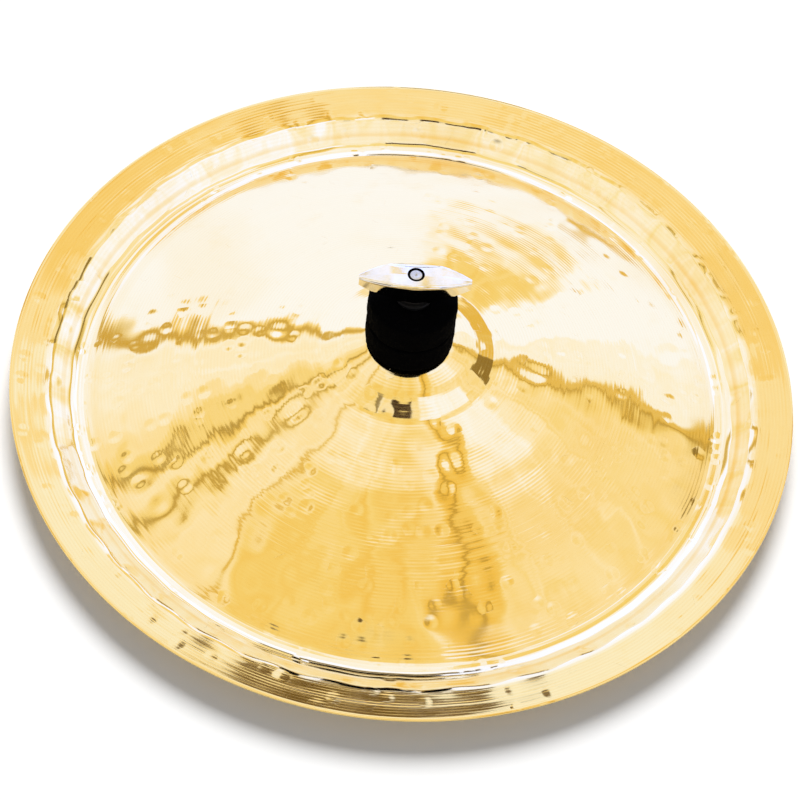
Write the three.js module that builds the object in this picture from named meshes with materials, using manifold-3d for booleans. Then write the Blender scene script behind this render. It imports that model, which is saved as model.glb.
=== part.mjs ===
// China cymbal with the felts, sleeve, washers, rod and wing nut that hold it.
// Millimetres, +Z up. The origin is on the surface the cymbal rests on, below the middle of its bell.
import * as THREE from 'three';
import { mergeVertices } from 'three/addons/utils/BufferGeometryUtils.js';
import Module from 'manifold-3d';

const wasm = await Module();
wasm.setup();

// Clearances
const seatGap = 0.3; // between a piece and what it rests on
const boreGap = 0.3; // round a shaft, on the radius
const feltBoreGap = 0.4; // between the sleeve and a felt, on the radius
const floorGap = 1.5; // below the lower end of the rod
const overrun = 1; // how far a cut runs past what it cuts

// Cymbal outline, along the middle of the sheet
const rimRadius = 177.8;
const bandWidth = 16.8; // the lathed band inside the rim
const wallWidth = 14.3; // the hammered wall between the band and the crease
const creaseLand = 6; // the flat that the crease is pressed to, before its roundings
const bellRadius = 39.8; // at the root of the bell
const bellSideWidth = 11;
const crownShare = 0.48; // of the bell's radius, where its flat crown turns down
const holeRadius = 6.35;
const bandRise = 4.1;
const wallRise = 8.8;
const bowRise = 32;
const bowCrown = 2.8; // how far the middle of the bow stands over a straight cone
const bellRise = 5.1;
const domeRise = 2.8; // between the bell's side and its crown
const crownRise = 0.4;

const bandRadius = rimRadius - bandWidth;

// Roundings of the cymbal outline
const crownFillet = 30;
const shoulderFillet = 30;
const rootFillet = 12;
const bowFillet = 820;
const creaseFillet = 8;
const bandFillet = 9;

// Sheet thickness and hammering
const bellThickness = 1.1;
const rimThickness = 0.75;
const landDepth = 0.05; // how far the crease is worn where the cymbal rests
const scallopDepth = 0.5; // how far the hammered edge waves in and out
const scallopCount = 40;

// Felts
const upperFeltRadius = 20;
const upperFeltThickness = 14.5;
const lowerFeltRadius = 19;
const lowerFeltThickness = 12;
const feltEdge = 1.6;

// Sleeve
const sleeveWall = 1.1;
const sleeveLength = 30;

// Rod
const rodRadius = 4;
const rodChamfer = 1.3;
const rodRecess = 0.3; // how far the rod end lies below the top of the nut
const shoulderRadius = 9;
const shoulderHeight = 5;
const shankRadius = 6;
const shankChamfer = 0.8;

// Washers
const seatWasherRadius = lowerFeltRadius; // as wide as the felt it carries
const seatWasherThickness = 1.5;
const seatWasherRoll = 3.5; // radius of its turned-down edge
const nutWasherLip = 0.5; // how far it shows round the nut's hub
const nutWasherThickness = 1.6;

// Wing nut
const nutSpan = 49;
const nutDepth = 15;
const nutHeight = 13.5;
const nutTipWidth = 2.4;
const nutTipDrop = 3; // how far the tips lie below the middle
const nutTipHeight = 5;
const hubHeight = 11.5;
const nutTurn = THREE.MathUtils.degToRad(5); // the wings stand this far off the X axis

// Facets
const roundSteps = 80;
const smallSteps = 40;
const holeSteps = 32;
const curveSteps = 16;
const sheetStepAngle = THREE.MathUtils.degToRad(9); // the most that a rounding turns between two points
const smallStepAngle = THREE.MathUtils.degToRad(30);
const leastSteps = 2;

// Colours and finishes
const bronze = new THREE.MeshStandardMaterial({ color: '#e9bd5a', roughness: 0.2, metalness: 1 });
const chrome = new THREE.MeshStandardMaterial({ color: '#e8e8ea', roughness: 0.06, metalness: 1 });
const steel = new THREE.MeshStandardMaterial({ color: '#b9b9bc', roughness: 0.3, metalness: 1 });
const blackFelt = new THREE.MeshStandardMaterial({ color: '#0b0b0d', roughness: 1, metalness: 0 });
const blackPlastic = new THREE.MeshStandardMaterial({ color: '#15151a', roughness: 0.5, metalness: 0 });

// The arc that rounds the corner between two neighbours
function cornerArc(before, corner, after, fillet, stepAngle) {
  const toBefore = before.clone().sub(corner).normalize();
  const toAfter = after.clone().sub(corner).normalize();
  const halfAngle = Math.acos(toBefore.dot(toAfter)) / 2;
  const inward = toBefore.clone().add(toAfter).normalize();
  const centre = corner.clone().addScaledVector(inward, fillet / Math.sin(halfAngle));
  const reach = fillet / Math.tan(halfAngle);
  const start = corner.clone().addScaledVector(toBefore, reach).sub(centre);
  const turn = (Math.PI - 2 * halfAngle) * -Math.sign(toBefore.cross(toAfter));
  const steps = Math.max(leastSteps, Math.round(Math.abs(turn) / stepAngle));
  return Array.from({ length: steps + 1 }, (_, i) =>
    start.clone().rotateAround(new THREE.Vector2(), (turn * i) / steps).add(centre));
}

// A line of corners, each rounded by its fillet; a corner without one stays sharp
function filletedLine(corners, stepAngle) {
  return corners.flatMap(({ at, fillet }, i) =>
    fillet ? cornerArc(corners[i - 1].at, at, corners[i + 1].at, fillet, stepAngle) : [at]);
}

// The middle of the cymbal's sheet, from the hole to the rim, as radius and height over the crease
function sheetMiddle() {
  const creaseInner = bandRadius - wallWidth - creaseLand / 2;
  const creaseOuter = creaseInner + creaseLand;
  const sideTop = bowRise + bellRise;
  const domeTop = sideTop + domeRise;
  return filletedLine([
    { at: new THREE.Vector2(holeRadius, domeTop + crownRise) },
    { at: new THREE.Vector2(bellRadius * crownShare, domeTop), fillet: crownFillet },
    { at: new THREE.Vector2(bellRadius - bellSideWidth, sideTop), fillet: shoulderFillet },
    { at: new THREE.Vector2(bellRadius, bowRise), fillet: rootFillet },
    { at: new THREE.Vector2((bellRadius + creaseInner) / 2, bowRise / 2 + bowCrown), fillet: bowFillet },
    { at: new THREE.Vector2(creaseInner, 0), fillet: creaseFillet },
    { at: new THREE.Vector2(creaseOuter, 0), fillet: creaseFillet },
    { at: new THREE.Vector2(bandRadius, wallRise), fillet: bandFillet },
    { at: new THREE.Vector2(rimRadius, wallRise + bandRise) },
  ], sheetStepAngle);
}

// The sheet's half thickness thins evenly from the bell to the rim
function halfThickness(radius) {
  const share = (radius - holeRadius) / (rimRadius - holeRadius);
  return THREE.MathUtils.lerp(bellThickness, rimThickness, share) / 2;
}

// One face of the sheet: side 1 is the top and side -1 the underside
function sheetFace(middle, side) {
  return middle.map((point, i) => {
    const before = middle[Math.max(i - 1, 0)];
    const after = middle[Math.min(i + 1, middle.length - 1)];
    const along = after.clone().sub(before).normalize();
    const normal = new THREE.Vector2(-along.y, along.x);
    return point.clone().addScaledVector(normal, side * halfThickness(point.x));
  });
}

// Both faces of the sheet, set down on z = 0 with the crease worn flat there
function cymbalFaces() {
  const middle = sheetMiddle();
  const under = sheetFace(middle, -1);
  const lift = new THREE.Vector2(0, -landDepth - Math.min(...under.map((point) => point.y)));
  const top = sheetFace(middle, 1).map((point) => point.add(lift));
  const worn = under.map((point) => {
    point.add(lift);
    return new THREE.Vector2(point.x, Math.max(point.y, 0));
  });
  return { top, under: worn };
}

// The height of a face at a radius
function heightAt(face, radius) {
  const outer = face.findIndex((point) => point.x >= radius);
  if (outer < 1) return face[0].y;
  const [a, b] = [face[outer - 1], face[outer]];
  return THREE.MathUtils.mapLinear(radius, a.x, b.x, a.y, b.y);
}

// A ring or disc turned from a closed outline of radius and height, in anticlockwise order
function turned(outline, steps) {
  const geometry = new THREE.LatheGeometry([...outline, outline[0]], steps);
  geometry.rotateX(Math.PI / 2);
  return geometry;
}

// Moves the hammered edge of the wall in and out, round the whole cymbal
function scallop(geometry) {
  const position = geometry.attributes.position;
  const wallShare = (radius) => Math.max(0, 1 - Math.abs(radius - bandRadius) / bandWidth);
  for (let i = 0; i < position.count; i += 1) {
    const at = new THREE.Vector2(position.getX(i), position.getY(i));
    const wave = Math.cos(scallopCount * at.angle());
    const stretch = 1 + (scallopDepth * wave * wallShare(at.length())) / at.length();
    position.setXY(i, at.x * stretch, at.y * stretch);
  }
  return geometry;
}

// A straight tube or cylinder turned about the rod, with a chamfer or fillet at both ends
function ring(innerRadius, outerRadius, height, edge, steps) {
  const outline = filletedLine([
    { at: new THREE.Vector2(innerRadius, 0) },
    { at: new THREE.Vector2(outerRadius, 0), fillet: edge },
    { at: new THREE.Vector2(outerRadius, height), fillet: edge },
    { at: new THREE.Vector2(innerRadius, height) },
  ], smallStepAngle);
  return turned(outline, steps);
}

// Joins and cuts need a closed solid
function solidOf(geometry) {
  const bare = geometry.clone();
  bare.deleteAttribute('normal');
  bare.deleteAttribute('uv');
  const merged = mergeVertices(bare);
  const vertProperties = new Float32Array(merged.attributes.position.array);
  return new wasm.Manifold(new wasm.Mesh({
    numProp: 3,
    vertProperties,
    triVerts: new Uint32Array(merged.index.array),
  }));
}

function geometryOf(solid) {
  const mesh = solid.getMesh();
  const geometry = new THREE.BufferGeometry();
  geometry.setAttribute('position', new THREE.BufferAttribute(mesh.vertProperties, 3));
  geometry.setIndex(new THREE.BufferAttribute(mesh.triVerts, 1));
  geometry.computeVertexNormals();
  return geometry;
}

// An upright cylinder that starts at a height
function post(radius, height, start) {
  const geometry = new THREE.CylinderGeometry(radius, radius, height, smallSteps);
  geometry.rotateX(Math.PI / 2);
  geometry.translate(0, 0, start + height / 2);
  return geometry;
}

// The nut seen from above: two arcs that meet at the wing tips
function nutPlan() {
  const half = nutSpan / 2;
  const bulge = (nutDepth - nutTipWidth) / 2;
  const arcRadius = (half * half + bulge * bulge) / (2 * bulge);
  const centre = nutDepth / 2 - arcRadius;
  const spread = Math.asin(half / arcRadius);
  const plan = new THREE.Shape();
  plan.absarc(0, centre, arcRadius, Math.PI / 2 - spread, Math.PI / 2 + spread, false);
  plan.absarc(0, -centre, arcRadius, -Math.PI / 2 - spread, -Math.PI / 2 + spread, false);
  return plan;
}

// The nut seen from the front: a crowned top, blunt tips and wings that sweep in to the hub
function nutFront() {
  const half = nutSpan / 2;
  const hub = nutDepth / 2;
  const tipTop = nutHeight - nutTipDrop;
  const tipFoot = tipTop - nutTipHeight;
  const front = new THREE.Shape();
  front.moveTo(-hub, 0);
  front.lineTo(hub, 0);
  front.bezierCurveTo(hub, tipFoot / 2, half - nutTipHeight, tipFoot / 2, half, tipFoot);
  front.lineTo(half, tipTop);
  front.quadraticCurveTo(0, nutHeight + nutTipDrop, -half, tipTop);
  front.lineTo(-half, tipFoot);
  front.bezierCurveTo(-half + nutTipHeight, tipFoot / 2, -hub, tipFoot / 2, -hub, 0);
  return front;
}

function wingNut() {
  const options = { bevelEnabled: false, curveSegments: curveSteps };
  const upright = new THREE.ExtrudeGeometry(nutPlan(), { ...options, depth: nutHeight + overrun });
  const across = new THREE.ExtrudeGeometry(nutFront(), { ...options, depth: nutDepth + overrun });
  across.translate(0, 0, -(nutDepth + overrun) / 2);
  across.rotateX(Math.PI / 2);
  const wings = solidOf(upright).intersect(solidOf(across));
  const hub = solidOf(post(nutDepth / 2, hubHeight, 0));
  const bore = solidOf(post(rodRadius + boreGap, nutHeight + 2 * overrun, -overrun));
  const geometry = geometryOf(wings.add(hub).subtract(bore));
  return geometry.rotateZ(nutTurn);
}

// The seat washer: flat on top, with its edge rolled down round the felt's lower edge
function seatWasher() {
  const flat = seatWasherRadius - seatWasherRoll;
  const innerRoll = seatWasherRoll - seatWasherThickness;
  const bore = rodRadius + boreGap;
  const foot = seatWasherThickness - seatWasherRoll;
  const roll = (radius, angle) => new THREE.Vector2(flat, foot)
    .add(new THREE.Vector2(radius, 0).rotateAround(new THREE.Vector2(), angle));
  const steps = Math.round(Math.PI / 2 / smallStepAngle);
  const angles = Array.from({ length: steps + 1 }, (_, i) => (Math.PI / 2) * (i / steps));
  const outer = angles.map((angle) => roll(seatWasherRoll, angle));
  const inner = angles.map((angle) => roll(innerRoll, Math.PI / 2 - angle));
  const top = new THREE.Vector2(bore, seatWasherThickness);
  return turned([new THREE.Vector2(bore, 0), ...inner, ...outer, top], smallSteps);
}

// The rod: a plain shank to be clamped, the shoulder that carries the stack, and the thread's outside
function tilterRod(shoulderTop, end) {
  const shoulderFoot = shoulderTop - shoulderHeight;
  const outline = [
    [0, floorGap],
    [shankRadius - shankChamfer, floorGap],
    [shankRadius, floorGap + shankChamfer],
    [shankRadius, shoulderFoot],
    [shoulderRadius - shankChamfer, shoulderFoot],
    [shoulderRadius, shoulderFoot + shankChamfer],
    [shoulderRadius, shoulderTop - shankChamfer],
    [shoulderRadius - shankChamfer, shoulderTop],
    [rodRadius, shoulderTop],
    [rodRadius, end - rodChamfer],
    [rodRadius - rodChamfer, end],
    [0, end],
  ].map(([radius, height]) => new THREE.Vector2(radius, height));
  const geometry = new THREE.LatheGeometry(outline, holeSteps);
  return geometry.rotateX(Math.PI / 2);
}

// The cymbal itself: bell, bow, crease, hammered wall and lathed rim band in one sheet
function cymbalSheet({ top, under }) {
  return scallop(turned([...under, ...top.toReversed()], roundSteps));
}

const assembly = new THREE.Group();

// Puts a piece into the assembly with its lower face at a height
function place(name, geometry, material, height) {
  const mesh = new THREE.Mesh(geometry, material);
  mesh.name = name;
  mesh.position.z = height;
  assembly.add(mesh);
}

const faces = cymbalFaces();
const sleeveRadius = rodRadius + boreGap + sleeveWall;
const feltBore = sleeveRadius + feltBoreGap;

// Heights of the stack, from the bell up
const lowerUpperFelt = heightAt(faces.top, holeRadius) + seatGap;
const upperUpperFelt = lowerUpperFelt + upperFeltThickness + seatGap;
const nutWasherFoot = upperUpperFelt + upperFeltThickness + seatGap;
const nutFoot = nutWasherFoot + nutWasherThickness + seatGap;
const rodEnd = nutFoot + nutHeight - rodRecess;

// Heights of the stack, from the bell down
const lowerFeltFoot = heightAt(faces.under, lowerFeltRadius) - seatGap - lowerFeltThickness;
const seatWasherTop = lowerFeltFoot - seatGap;
const seatWasherFoot = seatWasherTop - seatWasherThickness;
const shoulderTop = seatWasherFoot - seatGap;

const upperFelt = () => ring(feltBore, upperFeltRadius, upperFeltThickness, feltEdge, smallSteps);
const lowerFelt = ring(feltBore, lowerFeltRadius, lowerFeltThickness, feltEdge, smallSteps);
const sleeve = ring(rodRadius + boreGap, sleeveRadius, sleeveLength, 0, holeSteps);
const nutWasherRadius = nutDepth / 2 + nutWasherLip;
const nutWasher = ring(rodRadius + boreGap, nutWasherRadius, nutWasherThickness, 0, smallSteps);

place('cymbal', cymbalSheet(faces), bronze, 0);
place('upper_felt_bottom', upperFelt(), blackFelt, lowerUpperFelt);
place('upper_felt_top', upperFelt(), blackFelt, upperUpperFelt);
place('lower_felt', lowerFelt, blackFelt, lowerFeltFoot);
place('rod_sleeve', sleeve, blackPlastic, seatWasherTop + seatGap);
place('seat_washer', seatWasher(), steel, seatWasherFoot);
place('tilter_rod', tilterRod(shoulderTop, rodEnd), steel, 0);
place('nut_washer', nutWasher, blackPlastic, nutWasherFoot);
place('wing_nut', wingNut(), chrome, nutFoot);

export default assembly;
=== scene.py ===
"""A hammered china cymbal on its mounting stack, dressed for a plain studio.

Sizes in the classes that build pieces are millimetres, as on a maker's drawing, and
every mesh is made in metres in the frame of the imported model. The finishes, the camera
and the floor are in metres too.
"""

import logging
import math
from dataclasses import dataclass, field
from enum import Enum
from typing import Callable

import bmesh
import bpy
import numpy as np
from mathutils import Matrix, Vector


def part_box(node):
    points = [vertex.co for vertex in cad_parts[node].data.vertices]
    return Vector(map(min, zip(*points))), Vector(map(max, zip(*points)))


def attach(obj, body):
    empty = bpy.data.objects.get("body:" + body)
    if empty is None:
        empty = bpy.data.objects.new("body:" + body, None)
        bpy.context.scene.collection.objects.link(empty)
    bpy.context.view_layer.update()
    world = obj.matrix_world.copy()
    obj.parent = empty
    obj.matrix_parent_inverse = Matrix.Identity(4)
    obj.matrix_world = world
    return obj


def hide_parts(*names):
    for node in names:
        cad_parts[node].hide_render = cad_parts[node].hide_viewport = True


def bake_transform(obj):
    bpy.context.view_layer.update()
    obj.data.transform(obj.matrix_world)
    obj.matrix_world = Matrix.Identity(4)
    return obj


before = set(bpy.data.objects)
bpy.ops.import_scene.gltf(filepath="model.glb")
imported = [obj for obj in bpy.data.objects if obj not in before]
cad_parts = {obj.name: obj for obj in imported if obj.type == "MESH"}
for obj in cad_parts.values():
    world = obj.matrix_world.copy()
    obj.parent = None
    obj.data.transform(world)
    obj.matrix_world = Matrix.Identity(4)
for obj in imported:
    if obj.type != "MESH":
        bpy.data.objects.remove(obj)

LOG = logging.getLogger("cymbal_scene")
MM = 0.001
FINE_STEPS = 4000
SMOOTHING = 9
RAMP_STRENGTH = 0.5
LONG_RUN = 0.9
END_STEP = 0.12
Array = np.ndarray
Socket = bpy.types.NodeSocket
Colour = tuple[float, float, float, float]
Span = tuple[float, float]


class Body(Enum):
    """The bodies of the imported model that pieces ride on."""

    CYMBAL = "cymbal"
    FELTS = "felts"
    ROD = "rod"
    WASHER = "washer"
    NUT = "nut"


class Slot(Enum):
    """The record's material slots."""

    BRONZE = "bronze"
    FELT = "black_felt"
    PLASTIC = "black_plastic"
    STEEL = "steel"
    CHROME = "chrome"


# Node helpers


class Graph:
    """Adds nodes to a tree and wires them with short calls."""

    def __init__(self, tree: bpy.types.NodeTree) -> None:
        """Keeps the tree."""
        self.tree = tree

    def node(self, kind: str, **settings: object) -> bpy.types.Node:
        """Adds a node.

        Args:
            kind: The node's type name.
            settings: Values for the node's own properties.

        Returns:
            The new node.
        """
        made = self.tree.nodes.new(kind)
        for name, value in settings.items():
            setattr(made, name, value)
        return made

    def plug(self, socket: Socket, value: object) -> None:
        """Links a socket into an input, or sets the input's own value.

        Args:
            socket: The input.
            value: A socket, or a value for the input itself.
        """
        if isinstance(value, bpy.types.NodeSocket):
            self.tree.links.new(value, socket)
        else:
            socket.default_value = value

    def math(self, operation: str, *values: object, clamp: bool = False) -> Socket:
        """Adds a Math node.

        Args:
            operation: The node's operation.
            values: Its inputs in order, sockets or numbers.
            clamp: Whether the result stays between 0 and 1.

        Returns:
            The result.
        """
        made = self.node("ShaderNodeMath", operation=operation, use_clamp=clamp)
        for socket, value in zip(made.inputs, values):
            self.plug(socket, value)
        return made.outputs[0]

    def vector(self, operation: str, *values: object) -> Socket:
        """Adds a Vector Math node.

        Args:
            operation: The node's operation.
            values: Its inputs in order, sockets or numbers.

        Returns:
            The result: a number for LENGTH, else a vector.
        """
        made = self.node("ShaderNodeVectorMath", operation=operation)
        inputs = (made.inputs[0], made.inputs[3]) if operation == "SCALE" else made.inputs
        for socket, value in zip(inputs, values):
            self.plug(socket, value)
        return made.outputs["Value" if operation == "LENGTH" else "Vector"]

    def position(self) -> Socket:
        """Gives the place on the object, in metres."""
        return self.node("ShaderNodeTexCoord").outputs["Object"]

    def split(self, vector: Socket) -> bpy.types.NodeOutputs:
        """Splits a vector into its three parts.

        Args:
            vector: The vector.

        Returns:
            Its parts.
        """
        made = self.node("ShaderNodeSeparateXYZ")
        self.plug(made.inputs[0], vector)
        return made.outputs

    def level(self, x: Socket, y: Socket | None = None) -> Socket:
        """Makes a vector without height.

        Args:
            x: Its first part.
            y: Its second part, or None for 0.

        Returns:
            The vector.
        """
        made = self.node("ShaderNodeCombineXYZ")
        self.plug(made.inputs[0], x)
        if y is not None:
            self.plug(made.inputs[1], y)
        return made.outputs[0]

    def bump(self, height: Socket, distance: float, strength: float = 1.0,
             normal: Socket | None = None) -> Socket:
        """Turns a height into a normal.

        Args:
            height: The height.
            distance: How far a height of 1 stands out, in metres.
            strength: How much of it shows.
            normal: The normal that it starts from, or None for the surface's own.

        Returns:
            The normal.
        """
        made = self.node("ShaderNodeBump")
        self.plug(made.inputs["Height"], height)
        made.inputs["Distance"].default_value = distance
        made.inputs["Strength"].default_value = strength
        if normal is not None:
            self.plug(made.inputs["Normal"], normal)
        return made.outputs[0]

    def ramp(self, value: Socket, low: float, high: float,
             start: float = 0.0, end: float = 1.0) -> Socket:
        """Moves smoothly from one number to another as a value rises.

        Args:
            value: The value.
            low: Where the move starts.
            high: Where it ends.
            start: The number below the move.
            end: The number above it.

        Returns:
            The moved number.
        """
        made = self.node("ShaderNodeMapRange", interpolation_type="SMOOTHSTEP")
        for name, number in (("Value", value), ("From Min", low), ("From Max", high),
                             ("To Min", start), ("To Max", end)):
            self.plug(made.inputs[name], number)
        return made.outputs["Result"]

    def window(self, value: Socket, low: float, high: float, soft: float) -> Socket:
        """Is 1 where a value lies between two bounds, with soft edges.

        Args:
            value: The value.
            low: The lower bound.
            high: The upper bound.
            soft: Half the width of each edge.

        Returns:
            The mask.
        """
        rise = self.ramp(value, low - soft, low + soft)
        fall = self.ramp(value, high - soft, high + soft, 1.0, 0.0)
        return self.math("MULTIPLY", rise, fall)

    def noise(self, vector: Socket, scale: float, detail: float = 2.0,
              roughness: float = 0.5, distortion: float = 0.0) -> Socket:
        """Adds a noise texture.

        Args:
            vector: Where it is looked up.
            scale: Its scale.
            detail: Its octaves.
            roughness: How strong the finer octaves are.
            distortion: How far it is swirled.

        Returns:
            The noise value.
        """
        made = self.node("ShaderNodeTexNoise")
        self.plug(made.inputs["Vector"], vector)
        for name, number in (("Scale", scale), ("Detail", detail),
                             ("Roughness", roughness), ("Distortion", distortion)):
            self.plug(made.inputs[name], number)
        return made.outputs["Fac"]

    def mix(self, share: object, first: object, second: object) -> Socket:
        """Mixes two colours.

        Args:
            share: How much of the second is taken.
            first: The first colour.
            second: The second colour.

        Returns:
            The mixed colour.
        """
        made = self.node("ShaderNodeMix", data_type="RGBA")
        self.plug(made.inputs["Factor"], share)
        self.plug(made.inputs[6], first)
        self.plug(made.inputs[7], second)
        return made.outputs[2]

    def blend(self, share: object, first: object, second: object) -> Socket:
        """Mixes two numbers.

        Args:
            share: How much of the second is taken.
            first: The first number.
            second: The second number.

        Returns:
            The mixed number.
        """
        made = self.node("ShaderNodeMix", data_type="FLOAT")
        self.plug(made.inputs["Factor"], share)
        self.plug(made.inputs[2], first)
        self.plug(made.inputs[3], second)
        return made.outputs[0]


class EffectGroup:
    """A shader node group with named inputs and outputs, placed in materials."""

    name = "effect"
    inputs: tuple[tuple[str, str, float], ...] = ()
    outputs: tuple[tuple[str, str], ...] = ()

    def __init__(self) -> None:
        """Builds the group once."""
        self.tree = bpy.data.node_groups.new(self.name, "ShaderNodeTree")
        for label, kind, value in self.inputs:
            made = self.tree.interface.new_socket(label, in_out="INPUT", socket_type=kind)
            if kind == "NodeSocketFloat":
                made.default_value = value
        for label, kind in self.outputs:
            self.tree.interface.new_socket(label, in_out="OUTPUT", socket_type=kind)
        graph = Graph(self.tree)
        taken = graph.node("NodeGroupInput").outputs
        given = graph.node("NodeGroupOutput").inputs
        for label, value in self.build(graph, taken).items():
            graph.plug(given[label], value)

    def build(self, graph: Graph, taken: bpy.types.NodeOutputs) -> dict[str, Socket]:
        """Builds the inside of the group; each effect has its own."""
        raise NotImplementedError

    def place(self, graph: Graph, **values: object) -> dict[str, Socket]:
        """Puts the group into a material.

        Args:
            graph: The material's graph.
            values: Inputs by name, with underscores for spaces.

        Returns:
            The group's outputs by name.
        """
        made = graph.node("ShaderNodeGroup", node_tree=self.tree)
        for label, value in values.items():
            graph.plug(made.inputs[label.replace("_", " ").capitalize()], value)
        return {socket.name: socket for socket in made.outputs}


class LatheLines(EffectGroup):
    """Rings that a cutting tool leaves on a turned surface, round the Z axis."""

    name = "lathe_lines"
    inputs = (("Pitch", "NodeSocketFloat", 0.0011), ("Slope", "NodeSocketFloat", 0.05),
              ("Wander", "NodeSocketFloat", 0.35), ("Reach", "NodeSocketFloat", 1.0),
              ("Chatter", "NodeSocketFloat", 0.0))
    outputs = (("Normal", "NodeSocketVector"), ("Line", "NodeSocketFloat"))
    drift_scale: float = 14.0
    drift_turns: float = 1.6
    depth_range: Span = (0.35, 1.3)
    swing: float = 5.0

    def build(self, graph: Graph, taken: bpy.types.NodeOutputs) -> dict[str, Socket]:
        """Tilts the normal in and out as the radius grows.

        Args:
            graph: The group's graph.
            taken: The group's inputs.

        Returns:
            The tilted normal, and a mask of the lines.
        """
        place = graph.position()
        x, y, _ = graph.split(place)
        flat = graph.level(x, y)
        turns = graph.math("DIVIDE", graph.vector("LENGTH", flat), taken["Pitch"])
        drift = graph.noise(place, self.drift_scale, 2.0)
        uneven = graph.math("MULTIPLY_ADD", drift, self.drift_turns, turns)
        cut = graph.math("SINE", graph.math("MULTIPLY", uneven, math.tau))
        chatter = self.spread_noise(graph, uneven, 1.7, drift, 3.0, 3.0, 0.65)
        mixed = graph.blend(taken["Wander"], cut, chatter)
        depth_place = graph.level(graph.math("MULTIPLY", turns, 0.21))
        strength = graph.ramp(graph.noise(depth_place, 1.0, 1.0), 0.3, 0.7, *self.depth_range)
        tilt = graph.math("MULTIPLY", mixed, graph.math("MULTIPLY", strength, taken["Slope"]))
        tilt = graph.math("MULTIPLY", tilt, taken["Reach"])
        turned = graph.node("ShaderNodeVectorTransform", vector_type="VECTOR",
                            convert_from="OBJECT", convert_to="WORLD")
        graph.plug(turned.inputs[0], graph.vector("NORMALIZE", flat))
        outward = turned.outputs[0]
        plain = graph.node("ShaderNodeNewGeometry").outputs["Normal"]
        leaned = graph.vector("ADD", plain, graph.vector("SCALE", outward, tilt))
        swing = self.spread_noise(graph, uneven, 0.62, drift, 5.0, 2.0, 0.6)
        shake = graph.math("MULTIPLY", swing, taken["Chatter"])
        shake = graph.math("MULTIPLY", shake, taken["Reach"])
        sideways = graph.vector("CROSS_PRODUCT", plain, outward)
        leaned = graph.vector("ADD", leaned, graph.vector("SCALE", sideways, shake))
        normal = graph.vector("NORMALIZE", leaned)
        line = graph.math("MULTIPLY_ADD", mixed, 0.5, 0.5, clamp=True)
        return {"Normal": normal, "Line": line}

    def spread_noise(self, graph: Graph, uneven: Socket, across: float, drift: Socket,
                     along: float, detail: float, roughness: float) -> Socket:
        """Draws noise that follows the lines, centred on 0.

        Args:
            graph: The group's graph.
            uneven: The count of lines from the axis, with its drift.
            across: The noise's scale across the lines.
            drift: The drift of the lines.
            along: The noise's scale along the drift.
            detail: Its octaves.
            roughness: How strong the finer octaves are.

        Returns:
            The noise, from about -1 to 1.
        """
        place = graph.level(graph.math("MULTIPLY", uneven, across),
                            graph.math("MULTIPLY", drift, along))
        noise = graph.noise(place, 1.0, detail, roughness)
        return graph.math("MULTIPLY_ADD", noise, self.swing, -self.swing / 2)


class HammerMarks(EffectGroup):
    """Small peen marks, each a shallow round dent with a soft edge."""

    name = "hammer_marks"
    inputs = (("Size", "NodeSocketFloat", 0.005), ("Amount", "NodeSocketFloat", 0.5))
    outputs = (("Height", "NodeSocketFloat"), ("Dent", "NodeSocketFloat"))
    bowl_radius: float = 0.55

    def build(self, graph: Graph, taken: bpy.types.NodeOutputs) -> dict[str, Socket]:
        """Cuts dents into some cells of a Voronoi texture.

        Args:
            graph: The group's graph.
            taken: The group's inputs.

        Returns:
            A height from 0 in the dents to 1 outside, and a mask of the dents.
        """
        scaled = graph.vector("SCALE", graph.position(),
                              graph.math("DIVIDE", 1.0, taken["Size"]))
        cells = graph.node("ShaderNodeTexVoronoi", feature="F1")
        graph.plug(cells.inputs["Vector"], scaled)
        cells.inputs["Scale"].default_value = 1.0
        hue = graph.node("ShaderNodeSeparateColor")
        graph.plug(hue.inputs[0], cells.outputs["Color"])
        struck = graph.math("LESS_THAN", hue.outputs[0], taken["Amount"])
        bowl = graph.ramp(cells.outputs["Distance"], 0.0, self.bowl_radius, 1.0, 0.0)
        dent = graph.math("MULTIPLY", bowl, struck)
        return {"Height": graph.math("SUBTRACT", 1.0, dent), "Dent": dent}


class FineWear(EffectGroup):
    """Handling haze, small scratches and specks, at the scale of the piece."""

    name = "fine_wear"
    inputs = (("Scale", "NodeSocketFloat", 60.0), ("Scratches", "NodeSocketFloat", 0.5))
    outputs = (("Haze", "NodeSocketFloat"), ("Scratch", "NodeSocketFloat"),
               ("Height", "NodeSocketFloat"))
    streaks: tuple[Span, ...] = ((0.4, 17.0), (1.9, 23.0))

    def build(self, graph: Graph, taken: bpy.types.NodeOutputs) -> dict[str, Socket]:
        """Joins soft haze with thin stretched scratches.

        Args:
            graph: The group's graph.
            taken: The group's inputs.

        Returns:
            The haze, the scratches and a fine height.
        """
        scaled = graph.vector("SCALE", graph.position(), taken["Scale"])
        haze = graph.ramp(graph.noise(scaled, 1.0, 5.0, 0.6, 0.4), 0.38, 0.72)
        scratch = None
        for angle, stretch in self.streaks:
            mapping = graph.node("ShaderNodeMapping")
            graph.plug(mapping.inputs["Vector"], scaled)
            mapping.inputs["Rotation"].default_value = (0.2, 0.1, angle)
            mapping.inputs["Scale"].default_value = (1.0, stretch, 1.0)
            streak = graph.ramp(graph.noise(mapping.outputs[0], 2.0, 3.0, 0.7), 0.62, 0.74)
            scratch = streak if scratch is None else graph.math("MAXIMUM", scratch, streak)
        marked = graph.math("MULTIPLY", scratch, taken["Scratches"])
        fine = graph.noise(scaled, 24.0, 3.0, 0.6)
        height = graph.math("SUBTRACT", fine, marked)
        return {"Haze": haze, "Scratch": marked, "Height": height}


@dataclass(frozen=True)
class Effects:
    """The effect groups that the finishes share."""

    lines: LatheLines = field(default_factory=LatheLines)
    dents: HammerMarks = field(default_factory=HammerMarks)
    wear: FineWear = field(default_factory=FineWear)


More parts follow.
